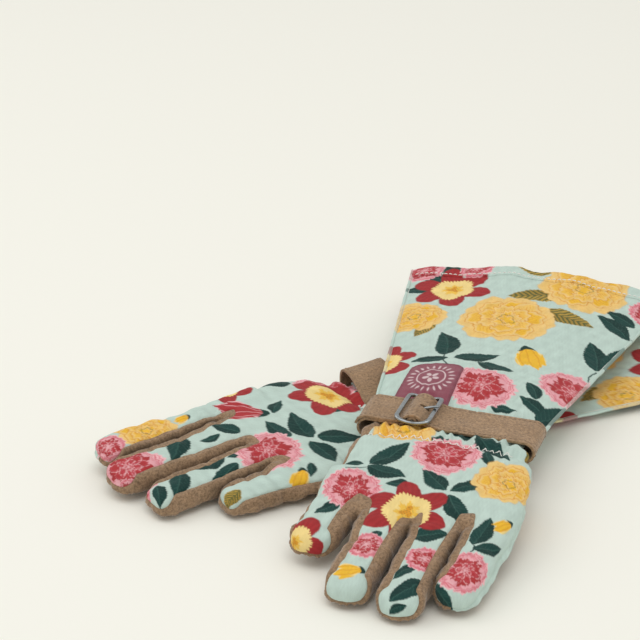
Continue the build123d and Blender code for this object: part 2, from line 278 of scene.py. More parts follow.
class Shader:
    """A material's nodes, with a method for each kind that the materials here use."""

    def __init__(self, name):
        self.material = bpy.data.materials.new(name)
        self.material.use_nodes = True
        self.tree = self.material.node_tree
        self.bsdf = self.tree.nodes["Principled BSDF"]

    def plug(self, node, inputs):
        """Sets each input to a number or colour, or links it to another node's output."""
        for key, value in inputs.items():
            if isinstance(value, bpy.types.NodeSocket):
                self.tree.links.new(value, node.inputs[key])
            else:
                node.inputs[key].default_value = value

    def look(self, inputs):
        self.plug(self.bsdf, inputs)

    def node(self, kind, inputs, **settings):
        node = self.tree.nodes.new("ShaderNode" + kind)
        for key, value in settings.items():
            setattr(node, key, value)
        self.plug(node, inputs)
        return node

    def place(self):
        return self.node("TexCoord", {}).outputs["Object"]

    def attribute(self, name, output):
        return self.node("Attribute", {}, attribute_name=name).outputs[output]

    def noise(self, vector, scale, detail=3, rough=0.6):
        inputs = {"Vector": vector, "Scale": scale, "Detail": detail, "Roughness": rough}
        return self.node("TexNoise", inputs).outputs["Fac"]

    def ramp(self, value, out_lo, out_hi, lo=0.3, hi=0.7):
        inputs = {"Value": value, "From Min": lo, "From Max": hi, "To Min": out_lo, "To Max": out_hi}
        return self.node("MapRange", inputs).outputs["Result"]

    def maths(self, kind, a, b=0.0):
        return self.node("Math", {0: a, 1: b}, operation=kind).outputs[0]

    def ridges(self, along, pitch):
        return self.maths("SINE", self.maths("MULTIPLY", along, 2 * math.pi / pitch))

    def bump(self, *layers):
        """A normal from layers of (height, strength, distance in m), each on the one before."""
        under = {}
        for height, strength, distance in layers:
            inputs = {"Height": height, "Strength": strength, "Distance": distance, **under}
            under = {"Normal": self.node("Bump", inputs).outputs["Normal"]}
        self.look(under)

    def tint(self, colour, shade):
        """Base colour: an output, or the colour of an sRGB hex code, times the shade."""
        if isinstance(colour, str):
            plain = self.node("RGB", {})
            plain.outputs[0].default_value = (*rgb(colour), 1)
            colour = plain.outputs[0]
        product = self.node("VectorMath", {0: colour, "Scale": shade}, operation="SCALE")
        self.look({"Base Color": product.outputs["Vector"]})


def cotton_material(name, plain=None):
    """Plain-woven cotton. The print is in the colour attribute; plain gives one colour instead."""
    m = Shader(name)
    cloth = m.attribute("cloth", "Vector")
    split = m.node("SeparateXYZ", {0: cloth})
    weave = m.maths("MULTIPLY", *(m.ridges(split.outputs[axis], 0.52) for axis in "XY"))
    slub = m.noise(cloth, 2.6, 4, 0.7)
    fuzz = m.noise(m.place(), 2600, 2)
    shade = m.maths("ADD", m.ramp(weave, -0.035, 0.035, -1, 1), m.ramp(slub, 0.95, 1.05))
    m.tint(plain or m.attribute("print", "Color"), shade)
    m.look({"Roughness": 0.82, "Specular IOR Level": 0.2, "Sheen Weight": 0.05, "Sheen Roughness": 0.5})
    m.bump((slub, 0.35, 0.00035), (weave, 0.45, 0.00012), (fuzz, 0.25, 0.0001))
    return m.material


def suede_material(name, code):
    m = Shader(name)
    at = m.place()
    broad = m.noise(at, 90, 4)
    nap = m.noise(at, 760, 4, 0.75)
    grain = m.noise(at, 2400, 3, 0.7)
    shade = m.maths("MULTIPLY", m.ramp(broad, 0.9, 1.1), m.ramp(nap, 0.5, 1.5))
    shade = m.maths("MULTIPLY", shade, m.ramp(grain, 0.84, 1.14))
    # Painted shade: the suede's colour falls to 0.32 of itself where the shadow attribute marks the creases
    # between the fingers.
    crease = m.ramp(m.attribute("shadow", "Fac"), 1.0, 0.32, 0, 1)
    m.tint(code, m.maths("MULTIPLY", shade, crease))
    m.look({"Roughness": 0.95, "Specular IOR Level": 0.12, "Sheen Weight": 0.35, "Sheen Roughness": 0.45})
    m.bump((nap, 0.6, 0.0005), (grain, 0.5, 0.0002))
    return m.material


def metal_material(name):
    m = Shader(name)
    at = m.place()
    blotch = m.noise(at, 260, 4)
    m.tint("A4AAAD", m.ramp(blotch, 0.72, 1.08))
    m.look({"Metallic": 1.0, "Roughness": m.ramp(blotch, 0.16, 0.34)})
    m.bump((m.noise(at, 1900), 0.12, 0.0001))
    return m.material


def thread_material(name, code):
    m = Shader(name)
    ply = m.noise(m.place(), 3500, 2)
    m.tint(code, m.ramp(ply, 0.85, 1.08))
    m.look({"Roughness": 0.7, "Sheen Weight": 0.2})
    m.bump((ply, 0.5, 0.0002))
    return m.material


def badge_material(name):
    m = Shader(name)
    cloth = m.attribute("cloth", "Vector")
    ribs = m.ridges(m.node("SeparateXYZ", {0: cloth}).outputs["Y"], 0.5)
    slub = m.noise(cloth, 3.0, 4)
    shade = m.maths("ADD", m.ramp(ribs, -0.09, 0.09, -1, 1), m.ramp(slub, 0.92, 1.08))
    m.tint(m.attribute("print", "Color"), shade)
    m.look({"Roughness": 0.6, "Sheen Weight": 0.2})
    m.bump((ribs, 0.5, 0.00015))
    return m.material


COTTON = cotton_material("printed_cotton")
LINING = cotton_material("cotton_wrong_side", "D9DED6")
SUEDE = suede_material("suede", "957B61")
STRAP_SUEDE = suede_material("strap_suede", "9C8063")
METAL = metal_material("nickel")
WHITE_THREAD = thread_material("white_thread", "EFEEE8")
TAN_THREAD = thread_material("tan_thread", "8C735B")
BADGE = badge_material("woven_badge")


# ---------------------------------------------------------------- mesh helpers

def add_object(g, name, mesh, material, body=None):
    obj = bpy.data.objects.new(f"{g.name}_{name}", mesh)
    bpy.context.scene.collection.objects.link(obj)
    for m in material if isinstance(material, tuple) else (material,):
        mesh.materials.append(m)
    mesh.shade_smooth()
    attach(obj, body or g.body())
    return obj


def mesh_of(g, points, faces, name="piece"):
    """A mesh in the row's frame from points in the glove's own."""
    mesh = bpy.data.meshes.new(name)
    mesh.from_pydata([tuple(v) for v in g.row(points)], [], faces)
    if g.side < 0:
        mesh.flip_normals()
    mesh.update()
    return mesh


def set_vector(mesh, name, values):
    """Stores one 3-vector per vertex; two columns are padded with 0."""
    values = np.asarray(values, float)
    if values.shape[1] == 2:
        values = np.c_[values, np.zeros(len(values))]
    layer = mesh.attributes.new(name, "FLOAT_VECTOR", "POINT")
    layer.data.foreach_set("vector", values.astype(np.float32).ravel())


def get_vector(mesh, name):
    out = np.zeros(len(mesh.vertices) * 3, np.float32)
    mesh.attributes[name].data.foreach_get("vector", out)
    return out.reshape(-1, 3).astype(float)


def set_colour(mesh, colours):
    layer = mesh.attributes.new("print", "FLOAT_COLOR", "POINT")
    layer.data.foreach_set("color", np.c_[colours, np.ones(len(colours))].astype(np.float32).ravel())


def put_print(mesh, g, cloth, motifs=None):
    """Stores the points' places on the flat cloth and the print's colours there."""
    cloth = np.asarray(cloth).reshape(-1, 2)
    set_vector(mesh, "cloth", cloth)
    set_colour(mesh, painted(cloth, g.motifs if motifs is None else motifs, g.seed))


def modified(obj, *steps):
    """The object's mesh after the modifiers, each given as (type, settings); removes the object."""
    for kind, settings in steps:
        mod = obj.modifiers.new(kind, kind)
        for key, value in settings.items():
            setattr(mod, key, value)
    bpy.context.view_layer.update()
    mesh = bpy.data.meshes.new_from_object(obj.evaluated_get(bpy.context.evaluated_depsgraph_get()))
    bpy.data.objects.remove(obj)
    return mesh


def scratch_object(mesh):
    obj = bpy.data.objects.new("scratch", mesh)
    bpy.context.scene.collection.objects.link(obj)
    return obj


def grid_faces(rows, cols, closed_cols=False, closed_rows=False):
    faces = []
    for i in range(rows if closed_rows else rows - 1):
        for j in range(cols if closed_cols else cols - 1):
            i2, j2 = (i + 1) % rows, (j + 1) % cols
            faces.append((i * cols + j, i * cols + j2, i2 * cols + j2, i2 * cols + j))
    return faces


def ring_points(half_w, half_h, power, count):
    """Points round a superellipse."""
    t = np.linspace(0, 2 * math.pi, count, endpoint=False)
    c, s = np.cos(t), np.sin(t)
    ring = np.c_[np.sign(c) * np.abs(c) ** (2 / power), np.sign(s) * np.abs(s) ** (2 / power)]
    return ring * (half_w, half_h)


def tube_mesh(centres, radii, sides=8, closed=False):
    """Vertices and faces of round tubes along lines of points."""
    centres = np.asarray(centres, float)
    n = len(centres)
    if closed:
        tangent = np.roll(centres, -1, 0) - np.roll(centres, 1, 0)
    else:
        tangent = np.gradient(centres, axis=0)
    tangent /= np.linalg.norm(tangent, axis=1)[:, None] + 1e-12
    ref = np.array([0.0, 0.0, 1.0]) if abs(tangent[:, 2]).mean() < 0.8 else np.array([1.0, 0.0, 0.0])
    across = np.cross(tangent, ref)
    across /= np.linalg.norm(across, axis=1)[:, None] + 1e-12
    up = np.cross(across, tangent)
    t = np.linspace(0, 2 * math.pi, sides, endpoint=False)
    radii = np.broadcast_to(np.asarray(radii, float), (n,))
    ring = across[:, None, :] * np.cos(t)[None, :, None] + up[:, None, :] * np.sin(t)[None, :, None]
    points = (centres[:, None, :] + ring * radii[:, None, None]).reshape(-1, 3)
    faces = [f[::-1] for f in grid_faces(n, sides, closed_cols=True, closed_rows=closed)]
    if not closed:
        faces += [tuple(range(sides)), tuple(range((n - 1) * sides, n * sides))[::-1]]
    return points, faces


def join(parts):
    points, faces, base = [], [], 0
    for p, f in parts:
        points.append(p)
        faces += [tuple(i + base for i in face) for face in f]
        base += len(p)
    return np.concatenate(points), faces


def line_at(at, run, points):
    """Points at the given distances along a line of points."""
    return np.stack([np.interp(at, run, points[:, k]) for k in range(points.shape[1])], 1)


def run_of(points):
    """Distance along a line at each of its points."""
    return np.r_[0, np.cumsum(np.linalg.norm(np.diff(points, axis=0), axis=1))]


def stitches(path, normals, pitch, length, radius):
    """Short thread bumps along a path, each sunk at its two ends."""
    run = run_of(path)
    parts = []
    for start in np.arange(0.3 * pitch, run[-1] - length, pitch):
        at = start + length * np.linspace(0, 1, 6)
        bow = np.sin(np.linspace(0, math.pi, 6))
        lift = (bow[:, None] * 1.3 - 0.6) * radius
        centre = line_at(at, run, path) + line_at(at, run, normals) * lift
        parts.append(tube_mesh(centre, radius * (0.55 + 0.45 * bow), 6))
    return join(parts)


# ---------------------------------------------------------------- the hand

def lofted(sections, count=30):
    """A closed solid through sections of (s, a, half width, half thickness, power)."""
    rings = []
    for s, a, w, t, power in sections:
        r = ring_points(w, t, power, count)
        rings.append(np.c_[s + r[:, 0], np.full(count, a), r[:, 1]])
    n = len(sections)
    faces = grid_faces(n, count, closed_cols=True)
    faces += [tuple(range(count))[::-1], tuple(range((n - 1) * count, n * count))]
    return np.concatenate(rings), faces


def finger_sections(g, f):
    x0, x1, y1 = ROOT_X[f], *g.tips[f]
    r0, r1 = g.root_half[f], g.tip_half[f]
    t0, t1 = g.finger_half, g.finger_half * (0.98 if f != "pinky" else 0.9)
    out = []
    for k in np.linspace(0, 1, 9):
        swell = 1 + 0.035 * math.sin(k * math.pi * 2.2)
        at = (x0 + k * (x1 - x0), FINGERS_FROM + k * (y1 - FINGERS_FROM))
        out.append((*at, (r0 + k * (r1 - r0)) * swell, (t0 + k * (t1 - t0)) * swell, 2.5))
    for angle in (18, 36, 52, 66, 78, 86):
        c, s = math.cos(math.radians(angle)), math.sin(math.radians(angle))
        out.append((x1, y1 + r1 * s, r1 * c ** 0.6, t1 * c ** 0.65, 2.6))
    return out


def palm_sections(g):
    out = []
    for a in (16, 22, 30, 40, 52, 64, 76, 88, 97, 101):
        w = np.interp(a, (16, 26, 40, 55, 75, 88, 101), (41, 43, 46.5, 48.4, 50.2, 50.6, 49.0))
        t = np.interp(a, *zip(*g.half_line)) * (1 if a < 90 else 0.85 if a < 99 else 0.5)
        out.append((0, a, w, t, 2.7))
    return out


def finger_share(g, f, a):
    return (a - FINGERS_FROM) / (g.tips[f][1] - FINGERS_FROM)


def axis_s(g, f, a):
    return ROOT_X[f] + finger_share(g, f, a) * (g.tips[f][0] - ROOT_X[f])


def half_at(g, f, a):
    """A finger's half width at a."""
    return g.root_half[f] + np.clip(finger_share(g, f, a), 0, 1) * (g.tip_half[f] - g.root_half[f])


def nearest_finger(g, s, a):
    """Index of the finger whose side is nearest; a finger that ends before a is out of reach."""
    reach = []
    for f in FINGERS:
        past = 99 * (a > g.tips[f][1] + g.tip_half[f] + 1.5)
        reach.append(np.abs(s - axis_s(g, f, a)) - 1.04 * half_at(g, f, a) + past)
    return np.argmin(reach, 0)


def seam_height(g, p):
    """Height of the back panel's seam over the hand's middle surface."""
    in_gap, outside, at_tip = g.seam
    s, a = p[:, 0], p[:, 1]
    outer_index = step(0, 4, s - axis_s(g, "index", a)) * step(0, 20, s)
    outer_pinky = step(0, 4, axis_s(g, "pinky", a) - s) * step(0, 20, -s)
    out = in_gap + outer_index * (-0.6 - in_gap) + outer_pinky * (outside - in_gap)
    nearest = nearest_finger(g, s, a)
    for k, f in enumerate(FINGERS):
        tip = step(-2, 9, a - g.tips[f][1] - 1) * (nearest == k)
        out = out + tip * (at_tip - out)
    low = step(88, 74, a)
    return out * (1 - low) + low * np.where(s > 0, -0.6, outside)


def palm_height(g):
    return -0.62 * g.finger_half


def cut(bm, values):
    """Splits the mesh's edges and faces along the line where values is 0."""
    bm.verts.ensure_lookup_table()
    bm.verts.index_update()
    val = {v: float(values[v.index]) for v in bm.verts}
    for e in bm.edges:
        a, b = e.verts
        if val[a] * val[b] < 0:
            t = val[a] / (val[a] - val[b])
            if t < 0.2:
                a.co = a.co.lerp(b.co, t)
                val[a] = 0.0
            elif t > 0.8:
                b.co = a.co.lerp(b.co, t)
                val[b] = 0.0
    for e in list(bm.edges):
        a, b = e.verts
        if val[a] * val[b] < 0:
            t = val[a] / (val[a] - val[b])
            _, v = bmesh.utils.edge_split(e, a, t)
            val[v] = 0.0
    for f in list(bm.faces):
        zero = [v for v in f.verts if val[v] == 0.0]
        if len(zero) == 2 and min(val[v] for v in f.verts) < 0 < max(val[v] for v in f.verts):
            if not any(set(e.verts) == set(zero) for e in f.edges):
                bmesh.utils.face_split(f, zero[0], zero[1])


def coords(bm):
    return np.array([v.co for v in bm.verts]) / MM


def crease(g, p, f, share, depth, width):
    """A fold across a finger, at a share of the way from its root to its tip."""
    at = FINGER_ROOTS + share * (g.tips[f][1] - FINGER_ROOTS)
    off = p[:, 0] - axis_s(g, f, p[:, 1])
    bend = 1.2 * waves(p[:, :1], 14, g.seed + int(share * 50)) + 0.009 * off ** 2
    return -depth * np.exp(-(((p[:, 1] - at - bend) / width) ** 2)) * (np.abs(off) < 13.5)


def gathers(g, p):
    """Sharp folds that fade out from the wrist along the hand."""
    phase = p[:, 0] / 7.0 + 0.75 * waves(p[:, :2] * (1, 0.35), 24, g.seed + 20)
    fold = 1 - 2 * np.abs(phase % 1 - 0.5) * 1.15
    fold = np.sign(fold) * np.abs(fold) ** 1.3
    reach = 15 + 4 * waves(p[:, :1], 17, g.seed + 21)
    grip = np.exp(-(np.clip(p[:, 1] - 25, 0, None) / reach) ** 1.6)
    strong = 0.75 + 0.4 * waves(p[:, :1], 19, g.seed + 23)
    return g.gather * grip * strong * (fold - 0.45)


def hand_displacement(g, p, normal):
    """How far the cloth stands out from the smooth form, in mm."""
    top = step(-0.3, 0.5, normal[:, 2])
    rumples = ((0.42, 26, 11), (0.26, 11, 12), (0.07, 4.5, 13))
    d = sum(height * waves(p, size, g.seed + k) for height, size, k in rumples)
    for k, f in enumerate(FINGERS):
        for share, depth in ((0.22, 0.5), (0.55, 0.6), (0.78, 0.35)):
            d = d + crease(g, p, f, share + 0.03 * ((k * 7) % 3 - 1), depth * (0.6 + 0.4 * top), 1.9)
            d = d + crease(g, p, f, share + 0.075, -0.35, 3.0)
    beyond = p[:, 1] - g.elastic
    wander = 1.2 * waves(p[:, :1], 25, g.seed + 22)
    d = d + gathers(g, p) - 1.5 * np.exp(-(((beyond - wander) / 2.6) ** 2))
    return d + 1.9 * np.exp(-(((beyond + 7.5) / 4) ** 2)) + 1.2 * np.exp(-(((beyond - 9.5) / 7) ** 2))


def drifted(g, p):
    """Leans the hand towards the thumb by the glove's table."""
    at, rows = zip(*g.drift)
    columns = np.stack([np.interp(p[:, 1], at, column) for column in zip(*rows)], 1)
    k = np.clip(np.searchsorted(DRIFT_AT, p[:, 0]) - 1, 0, len(DRIFT_AT) - 2)
    near, far = np.array(DRIFT_AT)[k], np.array(DRIFT_AT)[k + 1]
    t = step(0, 1, (p[:, 0] - near) / (far - near))
    every = np.arange(len(p))
    slid = columns[every, k] * (1 - t) + columns[every, k + 1] * t
    return p + slid[:, None] * (1, 0, 0)


def hand_to_glove(g, p):
    """Lifts the flat hand onto its curved middle surface."""
    a = p[:, 1]
    out = p.copy()
    out[:, 2] += sum(np.interp(a + k, *zip(*g.mid_line)) for k in (-12, -6, 0, 6, 12)) / 5
    out[:, 2] += g.roll * p[:, 0] * step(20, 60, a)
    return out


def unrolled(p, normal, half):
    """Place on the flat print of a point on the hand, so that the sides do not smear."""
    down = np.clip(half - p[:, 2], 0, None) * step(0.0, 0.6, 1 - np.abs(normal[:, 2]))
    return p[:, :2] + normal[:, :2] * down[:, None] * 0.75


def gap_shadow(g, p):
    """Painted shade: 1 deep in the crease where two fingers' sides meet, where the suede's colour is
    darkened.
    """
    a = p[:, 1]
    total = np.zeros(len(p))
    for f, o in zip(FINGERS[1:], FINGERS[:3]):
        middle = (axis_s(g, f, a) + half_at(g, f, a) + axis_s(g, o, a) - half_at(g, o, a)) / 2
        ends = step(99, 108, a) * step(14, 0, a - min(g.tips[f][1], g.tips[o][1]))
        total = total + np.exp(-(((p[:, 0] - middle) / 1.7) ** 2)) * ends
    return np.clip(total, 0, 1)


def hand_form(g):
    """A palm and four fingers, run together."""
    parts = [lofted(palm_sections(g))] + [lofted(finger_sections(g, f)) for f in FINGERS]
    for s, a in g.web:
        ends = ((FINGER_ROOTS, 0.97), (a - 5, 0.9), (a, 0.6))
        parts.append(lofted([(s, y, 7, g.finger_half * t, 2.5) for y, t in ends]))
    points, faces = join(parts)
    mesh = bpy.data.meshes.new("hand_form")
    mesh.from_pydata([tuple(v) for v in points * MM], [], faces)
    return modified(
        scratch_object(mesh),
        ("REMESH", {"mode": "VOXEL", "voxel_size": VOXEL * MM, "use_smooth_shade": True}),
        ("SMOOTH", {"factor": 0.5, "iterations": 9}),
    )


# The hand's panels: (name, the CAD piece it stands for, material, slot). While the hand is one
# mesh, a face's material index is its panel's place in this list.
PANELS = (
    ("hand_back_print", "back_panel", COTTON, "printed_cotton"),
    ("palm_suede", "palm_panel", SUEDE, "suede"),
    ("index_side_print", "index_side_strip", COTTON, "printed_cotton"),
    ("gusset_index_middle", "fourchette_index_middle", SUEDE, "suede"),
    ("gusset_middle_ring", "fourchette_middle_ring", SUEDE, "suede"),
    ("gusset_ring_pinky", "fourchette_ring_pinky", SUEDE, "suede"),
    ("pinky_side_suede", "pinky_side_strip", SUEDE, "suede"),
)
BACK, PALM, INDEX_SIDE, FIRST_GUSSET, PINKY_SIDE = 0, 1, 2, 3, 6
HAND_OPENS = 17.5          # the form's end at the wrist is cut away here


def divide_hand(g, bm):
    """Cuts the hand along its seams and marks every face with its panel."""
    p = coords(bm)
    cut(bm, p[:, 2] - seam_height(g, p))
    cut(bm, coords(bm)[:, 2] - palm_height(g))
    for f in FINGERS:
        p = coords(bm)
        wall = (p[:, 2] > palm_height(g) - 2.5) & (p[:, 2] < seam_height(g, p) + 2.5) & (p[:, 1] > 100)
        cut(bm, np.where(wall, p[:, 0] - axis_s(g, f, p[:, 1]), 1.0))
    bm.verts.index_update()
    bm.faces.ensure_lookup_table()
    centre = np.array([f.calc_center_median() for f in bm.faces]) / MM
    s, a, level = centre.T
    kind = np.full(len(centre), PALM)
    kind[level > seam_height(g, centre)] = BACK
    side = (kind == PALM) & (level > palm_height(g))
    beyond = [s > axis_s(g, f, a) for f in FINGERS]
    kind[side & beyond[0]] = INDEX_SIDE
    for k in range(3):
        kind[side & ~beyond[k] & beyond[k + 1]] = FIRST_GUSSET + k
    kind[side & ~beyond[3]] = PINKY_SIDE
    kind[side & (a < 80) & (s > 0)] = INDEX_SIDE
    kind[side & (a < 80) & (s <= 0)] = PINKY_SIDE
    for f, k in zip(bm.faces, kind):
        f.material_index = int(k)
    end = [f for f in bm.faces if f.calc_center_median().y / MM < HAND_OPENS]
    bmesh.ops.delete(bm, geom=end, context="FACES")
    bm.normal_update()
    bm.verts.index_update()


def seam_depth(bm):
    """1 on the seams round the back and palm, less on the others and next to them."""
    depth = np.zeros(len(bm.verts))
    for v in bm.verts:
        kinds = {f.material_index for f in v.link_faces}
        if len(kinds) > 1:
            deep = 1 if kinds & {BACK, PALM} else 0.35
            depth[v.index] = max(depth[v.index], deep)
            for e in v.link_edges:
                o = e.other_vert(v).index
                depth[o] = max(depth[o], 0.45 * deep)
    return depth


def hand_shell(g):
    """The whole hand as cloth, with its panels as material indices."""
    bm = bmesh.new()
    bm.from_mesh(hand_form(g))
    divide_hand(g, bm)
    p = coords(bm)
    normal = np.array([v.normal for v in bm.verts])
    seam = seam_depth(bm)
    wall = (p[:, 2] < seam_height(g, p)) & (p[:, 2] > palm_height(g)) & (np.abs(normal[:, 2]) < 0.85)
    move = hand_displacement(g, p, normal) + wall * step(90, 104, p[:, 1]) * (1 - seam)
    move = move - 0.55 * seam + 0.08 * waves(p, 4.2, g.seed + 30) * (seam > 0)
    puffed = p + normal * move[:, None]
    for v, co in zip(bm.verts, g.row(hand_to_glove(g, drifted(g, puffed)))):
        v.co = co
    mesh = bpy.data.meshes.new("hand_shell")
    bm.to_mesh(mesh)
    bm.free()
    if g.side < 0:
        mesh.flip_normals()
    set_vector(mesh, "cloth", unrolled(drifted(g, p), normal, g.finger_half))
    # Painted shade for the creases between the fingers, which the suede's material uses to darken its colour.
    shadow = gap_shadow(g, puffed).astype(np.float32)
    mesh.attributes.new("shadow", "FLOAT", "POINT").data.foreach_set("value", shadow)
    return mesh


def build_hand(g):
    """Builds the hand's panels; gives the whole hand's mesh and the panels by CAD piece."""
    shell = hand_shell(g)
    made = {}
    for k, (name, node, material, slot) in enumerate(PANELS):
        bm = bmesh.new()
        bm.from_mesh(shell)
        bmesh.ops.delete(bm, geom=[f for f in bm.faces if f.material_index != k], context="FACES")
        for f in bm.faces:
            f.material_index = 0
        part = bpy.data.meshes.new(name)
        bm.to_mesh(part)
        bm.free()
        if material is COTTON:
            part = modified(scratch_object(part), ("SUBSURF", {"levels": 1, "render_levels": 1}))
            set_colour(part, painted(get_vector(part, "cloth")[:, :2], g.motifs, g.seed))
        piece = add_object(g, name, part, material)
        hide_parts(f"{g.name}_{node}")
        made[node] = piece
    return shell, made


def build_thumb(g):
    """Thumb folded flat under the palm, in two halves."""
    root, tip = np.array([31.0, 44.0]), np.array([8.0, 84.0])
    along = (tip - root) / np.linalg.norm(tip - root)
    across = np.array([along[1], -along[0]])
    sections = [(root + (tip - root) * k, 12.5 - 3 * k, 2.3) for k in np.linspace(0, 1, 17)]
    for angle in (25, 50, 70, 84):
        c, s = math.cos(math.radians(angle)), math.sin(math.radians(angle))
        sections.insert(0, (root - along * 12.5 * s, 12.5 * c, 2.3 * c))
        sections.append((tip + along * 9.5 * s, 9.5 * c, 2.3 * c))
    t = np.linspace(0, math.pi, 17)
    height, fall, rise = g.palm_plane
    for name, node, half, material in (("over", "inner", 1, COTTON), ("under", "outer", -1, SUEDE)):
        rows = [np.c_[at + across * w * np.cos(t)[:, None], half * thick * np.sin(t) ** 0.8]
                for at, w, thick in sections]
        p = np.concatenate(rows)
        p[:, 2] += height - fall * p[:, 1] + rise * p[:, 0] - 2.5
        p[:, 2] += 0.25 * half * waves(p[:, :2], 9, g.seed + 40)
        faces = grid_faces(len(sections), len(t))
        mesh = mesh_of(g, p, faces if half > 0 else [f[::-1] for f in faces], f"thumb_{name}")
        if material is COTTON:
            put_print(mesh, g, p[:, :2])
        obj = add_object(g, f"thumb_{name}", mesh, material)
        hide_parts(f"{g.name}_thumb_{node}")


# ---------------------------------------------------------------- the cuff

def cuff_half(y):
    return 42.0 + 0.18 * (BAND_START - y)


def cuff_point(g, u, y, upper=True, out=0.0):
    """Point of the cuff at u = -1..1 from seam to seam and y along it, out mm off the cloth."""
    u, y = np.broadcast_arrays(np.asarray(u, float), np.asarray(y, float))
    low, mid, top = g.heights(np.minimum(y, BAND_START))
    share = np.clip((BAND_START - y) / (BAND_START - MOUTH), 0, 1)
    x = cuff_half(y) * u
    arch = np.clip(1 - np.abs(u) ** 2.3, 0, 1) ** 0.85
    plan = np.stack([x.ravel(), y.ravel()], 1)

    def ripple(size, seed, stretch=1):
        return waves(plan * (1, stretch), size, g.seed + seed).reshape(u.shape)

    # Soft hollows, growing towards the mouth, and gathers that die out from the wrist.
    drape = 1.5 * ripple(58, 50 if upper else 60, 0.45) * share
    drape = drape + 0.55 * ripple(21, 51) * (0.35 + 0.65 * share) + 0.16 * ripple(7, 53)
    beyond = np.clip(-2 - y, 0, None)
    grip, long_grip = np.exp(-beyond / 15.0), np.exp(-beyond / 48.0)
    fold = 1 - 2 * np.abs((x / 6.4 + 0.5 * ripple(22, 52, 0.3)) % 1 - 0.5) * 1.2
    broad = np.sin(x / 4.6 + 1.2 * ripple(40, 54, 0.2))
    drape = drape + 1.35 * grip * fold + 0.55 * long_grip * broad * np.clip(1 - grip, 0, 1)
    drape = np.clip(1 - u ** 6, 0, 1) * drape
    if upper:
        puff = 5.5 * np.exp(-(((y + 34) / 24.0) ** 2)) * step(2, -14, y)
        yawn = g.yawn * share**4 * step(-0.8, 0.5, u)
        z = mid + (top - mid) * arch + out + drape + (puff + yawn) * arch
    else:
        z = np.minimum(mid + (low - mid) * arch - out + drape * 0.25, mid - 0.3)
    x = x + 0.9 * np.sin(y / 9.0 + 2 * u) * grip * u
    edge = 1.1 * waves(plan[:, :1], 55, g.seed + 55).reshape(u.shape) * share ** 6
    return np.stack([x, y + edge, z], -1)


def cuff_normal(g, u, y):
    du = cuff_point(g, u + 0.01, y) - cuff_point(g, u - 0.01, y)
    dy = cuff_point(g, u, y + 0.5) - cuff_point(g, u, y - 0.5)
    n = np.cross(du, dy)
    n /= np.linalg.norm(n, axis=-1)[..., None]
    return n * np.sign(n[..., 2:3] + 1e-9)


def build_cuff_half(g, upper, pitch):
    """The upper or lower cuff as a grid of squares about pitch mm wide."""
    start = BAND_START - 6
    rows, cols = int((start - MOUTH) / pitch), int(2 * cuff_half(-90) / pitch)
    y, u = np.meshgrid(np.linspace(start, MOUTH, rows), np.linspace(-1, 1, cols), indexing="ij")
    name = "cuff_top_print" if upper else "cuff_under_print"
    faces = grid_faces(rows, cols)
    points = cuff_point(g, u, y, upper).reshape(-1, 3)
    mesh = mesh_of(g, points, [f[::-1] for f in faces] if upper else faces, name)
    below = [(kind, -s, a - 20, *rest) for kind, s, a, *rest in g.motifs]
    put_print(mesh, g, np.stack([cuff_half(y) * u, y], -1), g.motifs if upper else below)
    obj = add_object(g, name, mesh, (COTTON, LINING))
    solid = obj.modifiers.new("thickness", "SOLIDIFY")
    solid.thickness, solid.offset = 0.7 * MM, -1
    solid.material_offset, solid.material_offset_rim = 1, 0
    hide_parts(f"{g.name}_{'cuff_back' if upper else 'cuff_underside'}")
    return obj


def build_hem(g):
    """A second layer of the same cloth outside the mouth's edge, with a rolled lip."""
    depth, stitched_at = 9.0, 7.6
    roll = np.linspace(0.3, math.pi, 8)
    ys = np.r_[np.linspace(MOUTH + depth, MOUTH, 18), np.full(8, MOUTH)]
    outs = np.r_[0.15, np.full(16, 0.75), 0.8, 0.8 * np.cos(roll) - 0.35]
    shift = np.r_[np.zeros(18), -0.8 * np.sin(roll)]
    points, cloth = [], []
    for upper, round_half in ((True, np.linspace(-1, 1, 280)), (False, np.linspace(1, -1, 120))):
        y, u = np.meshgrid(ys, round_half, indexing="ij")
        p = cuff_point(g, u, y, upper, out=outs[:, None])
        p[..., 1] += shift[:, None]
        p[..., 0] *= 1 + 0.004 * np.abs(u) ** 8
        points.append(p)
        cloth.append(np.stack([cuff_half(y) * u, y], -1))
    p = np.concatenate(points, 1)
    mesh = mesh_of(g, p.reshape(-1, 3), grid_faces(*p.shape[:2], closed_cols=True), "hem")
    put_print(mesh, g, np.concatenate(cloth, 1))
    hem = add_object(g, "cuff_hem_fold", mesh, COTTON)
    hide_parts(f"{g.name}_cuff_hem")
    u, y = np.linspace(-0.985, 0.985, 500), MOUTH + stitched_at
    thread = stitches(cuff_point(g, u, y, True, 0.8), cuff_normal(g, u, y), 3.0, 2.3, 0.32)
    add_object(g, "hem_stitches", mesh_of(g, *thread), WHITE_THREAD)


def build_welts(g):
    """Narrow welts of cloth where the cuff's two halves are sewn together."""
    parts = []
    for edge in (-1, 1):
        under_slewed_strap = g.name == "left" and edge > 0
        y = np.linspace(-15.0 if under_slewed_strap else BAND_START - 8, MOUTH - 0.4, 230)
        line = cuff_point(g, np.full_like(y, edge), y)
        line[:, 0] += edge * 0.5
        line[:, 2] += 0.15 * np.sin(y / 3.1)
        parts.append(tube_mesh(line, 1.0 + 0.08 * np.sin(y / 2.2), 10))
    points, faces = join(parts)
    mesh = mesh_of(g, points, faces)
    set_vector(mesh, "cloth", points[:, :2])
    set_colour(mesh, painted(points[:, :2], g.motifs, g.seed) * 0.6 + MINT * 0.4)
    add_object(g, "cuff_side_welts", mesh, COTTON)


def build_cuff(g, pitch_on_top):
    """Builds the cuff; gives its two halves, the upper one first."""
    halves = [build_cuff_half(g, True, pitch_on_top), build_cuff_half(g, False, 1.6)]
    build_hem(g)
    build_welts(g)
    return halves


# ---------------------------------------------------------------- wrist, strap and buckle

